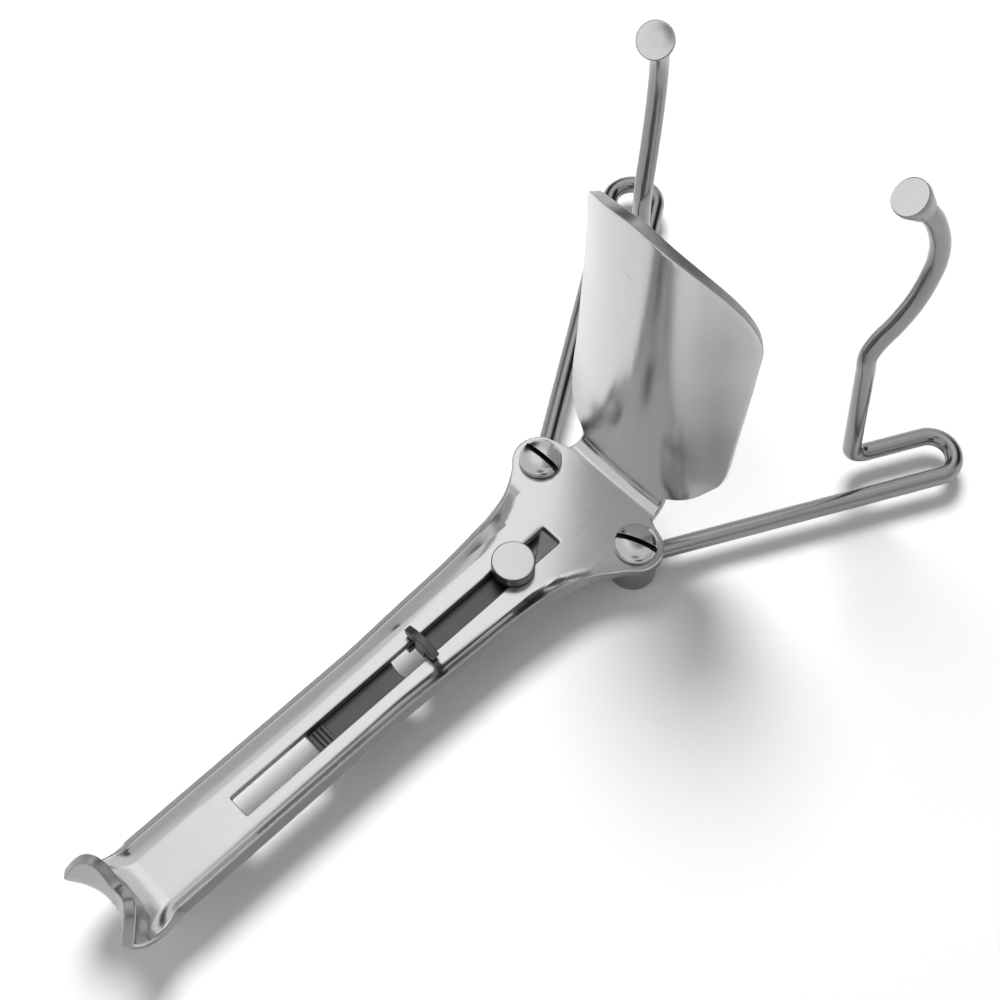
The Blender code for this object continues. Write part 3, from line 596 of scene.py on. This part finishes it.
for vert in bar.data.vertices:
    x, y, z = vert.co / MM
    if z > BAR_TOP + 0.55:
        mid = min((ridges[2 * k] + RIDGE_WIDTH / 2 for k in range(4)), key=lambda mid: abs(mid - x))
        vert.co.x = (mid + (x - mid) * 0.75) * MM
    past = LUG_FROM - x
    rear_of_lug = flat_lug(LUG_TOP) + LUG_CROWN * (y / LUG_HEAD) ** 2
    on_lug = abs(y) < LUG_NECK + 0.3 or (x < shoulder - 0.1 and abs(y) < LUG_HEAD + 0.1)
    if past > 1e-4 and on_lug and x > rear_of_lug - 0.4:
        turn = min(past, FOLDED) / LUG_FOLD
        reach = LUG_FOLD - (z - BAR_TOP)
        x = LUG_FROM - reach * math.sin(turn)
        z = BAR_TOP + LUG_FOLD - reach * math.cos(turn) + max(0.0, past - FOLDED)
        vert.co = (x * MM, y * MM, z * MM)
# The bar's very dark base colour is painted shade, for the shade it lies in under the sheet.
fitted(bar, steel("bar_painted_shade", 0.09, 0.34, (80.0, 1200.0, 1200.0)), "slide", "slide_bar")

# Slide knob and its nut: the knob is a turned disc on a stepped stud that passes the slot, the bar
# and the two levers, and a round nut holds them all on the stud.
LEVER_TOP = BAR_TOP - BAR_T - FIT
LEVER_T = 2.8
LEVER_BOTTOM = LEVER_TOP - LEVER_T
KNOB_R = 4.7
KNOB_T = 3.0
NUT_R = 6.0
NUT_T = 3.4
NUT_FOOT = LEVER_BOTTOM - FIT - NUT_T


def turned(name, profile, sides=96, closed=False):
    """Lathe work: a ring is extruded and resized along a list of (radius, height)."""
    r, z = profile[0]
    bpy.ops.mesh.primitive_circle_add(vertices=sides, radius=r * MM, location=(0, 0, z * MM),
                                      fill_type="NOTHING" if closed else "NGON")
    obj = bpy.context.active_object
    obj.name = name
    obj.data.name = name
    alone(obj, "EDIT")
    for now, after in zip(profile[:-1], profile[1:]):
        rise = {"value": (0, 0, (after[1] - now[1]) * MM)}
        if closed:
            bpy.ops.mesh.extrude_edges_move(TRANSFORM_OT_translate=rise)
        else:
            bpy.ops.mesh.extrude_region_move(TRANSFORM_OT_translate=rise)
        bpy.ops.transform.resize(value=(after[0] / now[0], after[0] / now[0], 1),
                                 center_override=(0, 0, after[1] * MM))
    bpy.ops.mesh.select_all(action="SELECT")
    bpy.ops.mesh.remove_doubles(threshold=0.000002)
    bpy.ops.mesh.normals_make_consistent(inside=False)
    bpy.ops.object.mode_set(mode="OBJECT")
    obj.data.transform(obj.matrix_world)
    obj.matrix_world = Matrix.Identity(4)
    return obj


def placed(obj, matrix):
    """Move the mesh itself, and leave the object at the origin. A mirrored mesh is turned right side out."""
    obj.data.transform(matrix)
    if matrix.determinant() < 0:
        obj.data.flip_normals()
    return obj


def turned_edge(r, z, soft, outward, n=4):
    """Rounded rim of a turned piece, from its flat end to its side or back."""
    points = []
    for k in range(n + 1):
        a = math.radians(90.0 * k / n)
        points.append((r - soft + soft * math.sin(a), z - math.copysign(soft * (1 - math.cos(a)), outward)))
    return points


knob = turned("knob_on_stud", [(STUD_R - 0.25, NUT_FOOT), (STUD_R, NUT_FOOT + 0.25), (STUD_R, -SHEET),
                               (SLOT_HALF - FIT, -SHEET), (SLOT_HALF - FIT, FIT)]
              + turned_edge(KNOB_R, FIT, 0.3, -1) + turned_edge(KNOB_R, FIT + KNOB_T, 0.35, 1)[::-1]
              + [(4.1, FIT + KNOB_T), (1.2, FIT + KNOB_T)])
placed(knob, Matrix.Translation((STUD_X * MM, 0, 0)))
fitted(knob, steel("turned_knob", 0.50, 0.25, (1500.0, 1500.0, 1500.0), 0.000001), "slide", "slide_knob")
# The knob's sides and stud get a very dark base colour: painted shade for the dark that their steel mirrors.
darkened_faces(knob, steel("knob_side_painted_shade", 0.12, 0.32, (1500.0, 1500.0, 1500.0), 0.000001),
       lambda at, facing: facing.z < 0.9)
nut_bore = STUD_R + FIT
nut = turned("round_nut", [(nut_bore, NUT_FOOT), (5.2, NUT_FOOT)] + turned_edge(NUT_R, NUT_FOOT, 0.6, -1)
             + turned_edge(NUT_R, LEVER_BOTTOM - FIT, 0.4, 1)[::-1]
             + [(nut_bore, LEVER_BOTTOM - FIT), (nut_bore, NUT_FOOT)], 72, True)
placed(nut, Matrix.Translation((STUD_X * MM, 0, 0)))
fitted(nut, steel("turned_nut", 0.42, 0.28, (1500.0, 1500.0, 1500.0), 0.000001), "slide", "slide_nut")

# Crank posts: a turned foot hangs under each boss of the handle on its pivot screw. Its flat lever
# reaches in to the stud, which runs in the lever's curved slot, and the two levers are half lapped.
TABLE = 11.8
POST_R = 5.3
POST_FOOT_R = 4.95
LEVER_HALF = 3.1
ROD_Z = -5.4
WIRE_R = 2.0
WIRE_IN = 2.8
SHANK_IN = 6.0
SLIDE_TRAVEL = 6.0
STUD_DIST = math.hypot(STUD_X, PIVOT_Y)
TURN_PER_MM = PIVOT_Y / STUD_DIST ** 2
# Degrees of the arm outwards, how far its loop reaches, the gap between the loop's strands, the
# degrees that its upright leans, how far that stands back, and how much lower its tip is.
SIDES = {
    "left": {"side": 1, "angle": 32.7, "loop_end": 84.3, "gap": 11.3,
             "lean": 1.1, "back": 2.0, "drop": 1.5},
    "right": {"side": -1, "angle": 27.6, "loop_end": 77.2, "gap": 10.4,
              "lean": 0.0, "back": 0.0, "drop": 0.0},
}


def stud_path(side):
    """Path of the stud seen from the lever, while the lever turns in step with the slide."""
    out = []
    for i in range(25):
        q = -SLIDE_TRAVEL - 0.4 + (2 * SLIDE_TRAVEL + 0.8) * i / 24
        turn = -side * TURN_PER_MM * q
        dx, dy = STUD_X + q, -side * PIVOT_Y
        out.append((dx * math.cos(turn) - dy * math.sin(turn), dx * math.sin(turn) + dy * math.cos(turn)))
    return out


def round_about(path, gap, n=12):
    """Rounded outline at a fixed distance around an open path."""
    left, right = [], []
    for i, (x, y) in enumerate(path):
        a, b = path[max(0, i - 1)], path[min(len(path) - 1, i + 1)]
        dx, dy = b[0] - a[0], b[1] - a[1]
        size = math.hypot(dx, dy)
        left.append((x - dy / size * gap, y + dx / size * gap))
        right.append((x + dy / size * gap, y - dx / size * gap))
    first, last = path[0], path[-1]
    a0 = math.degrees(math.atan2(left[-1][1] - last[1], left[-1][0] - last[0]))
    a1 = math.degrees(math.atan2(right[0][1] - first[1], right[0][0] - first[0]))
    return (left + arc(*last, gap, a0, a0 - 180, n)[1:-1] + right[::-1]
            + arc(*first, gap, a1, a1 - 180, n)[1:-1])


def joined(obj, other, operation):
    """Fuse another shape into the piece, or cut it out."""
    alone(obj)
    cut = obj.modifiers.new(operation.lower(), "BOOLEAN")
    cut.operation = operation
    cut.solver = "EXACT"
    cut.object = other
    bpy.ops.object.modifier_apply(modifier=cut.name)
    bpy.data.objects.remove(other)


def softened(obj, width, angle=40.0, segments=2):
    """Break the sharp edges."""
    alone(obj)
    soft = obj.modifiers.new("soft_edges", "BEVEL")
    soft.width = width * MM
    soft.segments = segments
    soft.limit_method = "ANGLE"
    soft.angle_limit = math.radians(angle)
    bpy.ops.object.modifier_apply(modifier=soft.name)


def lever_outline(side):
    """Outline of the lever from the middle of its post to the rounded end past its slot."""
    cam = stud_path(side)
    far, near = cam[0], cam[-1]
    size = math.hypot(*far)
    ux, uy = far[0] / size, far[1] / size
    nearest = math.hypot(*near)
    end = []
    for x, y in round_about(cam, LEVER_HALF):
        out = x * ux + y * uy
        if out > nearest:
            end.append((math.atan2(-x * uy + y * ux, out - nearest), x, y))
    end.sort(reverse=True)
    wide = (-uy * LEVER_HALF, ux * LEVER_HALF)
    return [wide] + [(x, y) for _, x, y in end] + [(-wide[0], -wide[1])], ux, uy, nearest


for label, arm in SIDES.items():
    side, angle = arm["side"], arm["angle"]
    top, foot = -SHEET - FIT, -TABLE
    post = turned(label + "_post", [(3.4, foot)] + turned_edge(POST_FOOT_R, foot, 0.5, -1)
                  + [(POST_R, foot + 0.95)] + turned_edge(POST_R, top, 0.3, 1)[::-1] + [(4.0, top)])
    hull, ux, uy, nearest = lever_outline(side)
    lever = blanked("lever", [hull], LEVER_TOP, LEVER_BOTTOM, 0.25, 2)
    middle = (LEVER_TOP + LEVER_BOTTOM) / 2
    lap_z = (LEVER_BOTTOM - 1.0, middle + FIT / 2) if side > 0 else (middle - FIT / 2, LEVER_TOP + 1.0)
    lap_from = nearest - 5.0
    lap = [(ux * out - uy * across, uy * out + ux * across)
           for out, across in ((lap_from, 13), (lap_from, -13), (50, -13), (50, 13))]
    joined(lever, blanked("lap", [lap], lap_z[1], lap_z[0], 0.02, 0), "DIFFERENCE")
    joined(post, lever, "UNION")
    stud_slot = round_about(stud_path(side), STUD_R + FIT)
    joined(post, blanked("slot", [stud_slot], 0.0, -20.0, 0.02, 0), "DIFFERENCE")
    aim = Matrix.Translation((0, 0, ROD_Z * MM)) @ Matrix.Rotation(math.radians(angle) * side, 4, "Z")
    aim = aim @ Matrix.Rotation(math.pi / 2, 4, "Y")
    tight = WIRE_R + 0.1
    bore = turned("bore", [(tight, WIRE_IN - FIT), (tight, POST_R - 0.9), (tight + 0.7, POST_R),
                           (tight + 0.7, 9.0)], 48)
    joined(post, placed(bore, aim), "DIFFERENCE")
    shank = turned("shank", [(SHANK_R + FIT, -SHEET - SHANK_IN - 2 * FIT), (SHANK_R + FIT, 1.0)], 48)
    joined(post, shank, "DIFFERENCE")
    placed(post, Matrix.Translation((0, side * PIVOT_Y * MM, 0)))
    fitted(post, steel(label + "_post_steel", 0.26, 0.3, (900.0, 900.0, 900.0), 0.000001), label + "_arm",
           label + "_crank_post")

# Pivot screws: slotted screws with a low domed head, turned and polished, driven through the boss
# of the handle into the post. Each stands where it was last turned to.
SCREW_R = 4.7
DOME_FROM = 1.3
DOME_H = 1.45
DOME_CUT = 0.12                                            # cosine of the angle at which the dome starts
GROOVE_HALF = 0.6
GROOVE_FLOOR = 0.85
# Near black colour for the screw slots: painted shade for the dark of the deep, narrow groove.
slot_shade_paint = steel("screw_slot_painted_shade", 0.035, 0.5, (900.0, 900.0, 900.0), 0.000001)
for label, turn in (("left", 94.0), ("right", 113.0)):
    side = SIDES[label]["side"]
    deep = -SHEET - SHANK_IN
    dome = [(SCREW_R * math.sin(math.radians(a)),
             DOME_FROM + DOME_H * (math.cos(math.radians(a)) - DOME_CUT) / (1 - DOME_CUT))
            for a in (83, 78, 70, 61, 52, 43, 34, 25, 16, 8)]
    screw = turned(label + "_screw", [(SHANK_R - 0.3, deep - 0.3), (SHANK_R, deep), (SHANK_R, FIT)]
                   + turned_edge(SCREW_R, FIT, 0.25, -1) + [(SCREW_R, 1.15)] + dome)
    groove = blanked("groove", [[(-6, -GROOVE_HALF), (6, -GROOVE_HALF), (6, GROOVE_HALF), (-6, GROOVE_HALF)]],
                     4.0, GROOVE_FLOOR, 0.02, 0)
    placed(groove, Matrix.Rotation(math.radians(turn), 4, "Z"))
    joined(screw, groove, "DIFFERENCE")
    softened(screw, 0.09)
    placed(screw, Matrix.Translation((0, side * PIVOT_Y * MM, 0)))
    fitted(screw, steel(label + "_screw_steel", 0.46, 0.2, (1200.0, 1200.0, 1200.0), 0.000001),
           label + "_arm", label + "_pivot_screw")
    across = Vector((-math.sin(math.radians(turn)), math.cos(math.radians(turn)), 0.0))
    middle = Vector((0.0, side * PIVOT_Y, 0.0))
    # The groove faces get that painted shade.
    darkened_faces(screw, slot_shade_paint, lambda at, facing: abs((at - middle).dot(across)) < GROOVE_HALF + 0.005
           and 0.8 < at.z < 2.6 and (at - middle).xy.length < SCREW_R)

# Wire arms: 4 mm spring wire, bent in one piece. From its post each wire runs out straight, turns
# back in a long loop, bends up and curves in to its tip. The left one is bent wider and longer.
UPRIGHT = [(50.3, 32.4), (49.7, 37.6), (50.9, 42.5), (53.6, 47.8), (56.0, 55.0), (57.1, 63.5), (56.9, 69.5),
           (55.6, 75.0), (53.2, 80.5), (50.8, 84.1)]
UPRIGHT_FOOT = 54.2
UPRIGHT_BEND = 4.6
DROP_FROM = 50.0                                           # height above which the left tip is bent lower
TIP_DIR = (-0.63, 0.777)
TIP_FACE = (46.1, 89.8)
CAP_R = 3.7
CAP_L = 5.6


def on_upright(label, reach, z):
    """A point of the upright as (reach, sideways, height), with that arm's own lean and drop."""
    arm = SIDES[label]
    low = arm["drop"] * max(0.0, (z - DROP_FROM) / (TIP_FACE[1] - DROP_FROM))
    return reach - arm["back"] - low, arm["gap"] - math.tan(math.radians(arm["lean"])) * (z - ROD_Z), z - low


def eased(points, per):
    """Rounded path through a list of points."""
    out = []
    pts = [points[0]] + points + [points[-1]]
    for p0, p1, p2, p3 in zip(pts[:-3], pts[1:-2], pts[2:-1], pts[3:]):
        for i in range(per):
            t = i / per
            near = zip(p0, p1, p2, p3)
            out.append(tuple(0.5 * (2 * b + (c - a) * t + (2 * a - 5 * b + 4 * c - d) * t * t
                                    + (3 * b - a - 3 * c + d) * t ** 3) for a, b, c, d in near))
    return out + [points[-1]]


def wire_path(label):
    """Points of the wire's middle line as (reach, sideways, height)."""
    arm = SIDES[label]
    path = [(x, 0.0, ROD_Z) for x in (WIRE_IN, 8.0, 20.0, 35.0, 50.0, 62.0)]
    r = arm["gap"] / 2
    path += [(x, y, ROD_Z) for x, y in arc(arm["loop_end"] - r, r, r, -90, 90, 48)]
    foot = UPRIGHT_FOOT + UPRIGHT_BEND
    total = math.degrees(math.atan2(UPRIGHT[0][1] - ROD_Z, UPRIGHT[0][0] - UPRIGHT_FOOT)) - 180.0
    for x, z in arc(foot, ROD_Z + UPRIGHT_BEND, UPRIGHT_BEND, -90, -90 + total, 24):
        path.append((x - arm["back"], arm["gap"], z))
    path += [on_upright(label, x, z) for x, z in eased(UPRIGHT, 12)]
    for inward in (CAP_L, 2.2):
        path.append(on_upright(label, TIP_FACE[0] - TIP_DIR[0] * inward, TIP_FACE[1] - TIP_DIR[1] * inward))
    return path


def arm_place(label):
    """Arm frame to working frame: the loop lies on the inner side of the rod."""
    side = SIDES[label]["side"]
    a = math.radians(SIDES[label]["angle"])
    return Matrix(((math.cos(a), math.sin(a), 0, 0),
                   (side * math.sin(a), -side * math.cos(a), 0, side * PIVOT_Y * MM),
                   (0, 0, 1, 0), (0, 0, 0, 1)))


for label in SIDES:
    curve = bpy.data.curves.new(label + "_wire", "CURVE")
    curve.dimensions = "3D"
    curve.bevel_depth = WIRE_R * MM
    curve.bevel_resolution = 10
    curve.use_fill_caps = True
    path = wire_path(label)
    spline = curve.splines.new("POLY")
    spline.points.add(len(path) - 1)
    for point, co in zip(spline.points, path):
        point.co = tuple(c * MM for c in co) + (1.0,)
    rod = bpy.data.objects.new(label + "_wire", curve)
    scene.collection.objects.link(rod)
    alone(rod)
    bpy.ops.object.convert(target="MESH")
    rod = bpy.context.active_object
    placed(rod, arm_place(label))
    alone(rod, "EDIT")
    bpy.ops.mesh.remove_doubles(threshold=0.000004)
    bpy.ops.mesh.normals_make_consistent(inside=False)
    bpy.ops.object.mode_set(mode="OBJECT")
    fitted(rod, steel(label + "_wire_steel", 0.25, 0.2, (400.0, 400.0, 400.0), 0.0000006), label + "_arm",
           label + "_arm_wire", 45.0)

# Tip caps: turned steel buttons with a flat polished face and a tapered neck, bored from behind
# and pressed on the wire ends. Their sides are darker and a little rougher than their faces.
CAP_NECK = CAP_R - 1.0
CAP_BORE = WIRE_R + 0.12
for label in SIDES:
    face = Vector(on_upright(label, *TIP_FACE))
    start = Vector(on_upright(label, TIP_FACE[0] - TIP_DIR[0] * CAP_L, TIP_FACE[1] - TIP_DIR[1] * CAP_L))
    cap = turned(label + "_cap", [(CAP_BORE, -1.9), (CAP_BORE, -CAP_L), (CAP_NECK - 0.25, -CAP_L),
                                  (CAP_NECK - 0.07, -CAP_L + 0.07), (CAP_NECK, -CAP_L + 0.25),
                                  (CAP_R - 0.12, -1.75), (CAP_R, -1.5)]
                 + turned_edge(CAP_R, 0.0, 0.3, 1)[::-1] + [(1.2, 0.0)])
    placed(cap, arm_place(label) @ Matrix.Translation(face * MM)
           @ (face - start).to_track_quat("Z", "Y").to_matrix().to_4x4())
    fitted(cap, steel(label + "_cap_steel", 0.64, 0.22, (900.0, 900.0, 900.0), 0.0000003), label + "_arm",
           label + "_tip_cap", 35.0)
    out = (arm_place(label).to_3x3() @ (face - start)).normalized()
    darkened_faces(cap, steel(label + "_cap_side", 0.24, 0.28, (900.0, 900.0, 900.0), 0.0000003),
           lambda at, facing: facing.dot(out) < 0.9)
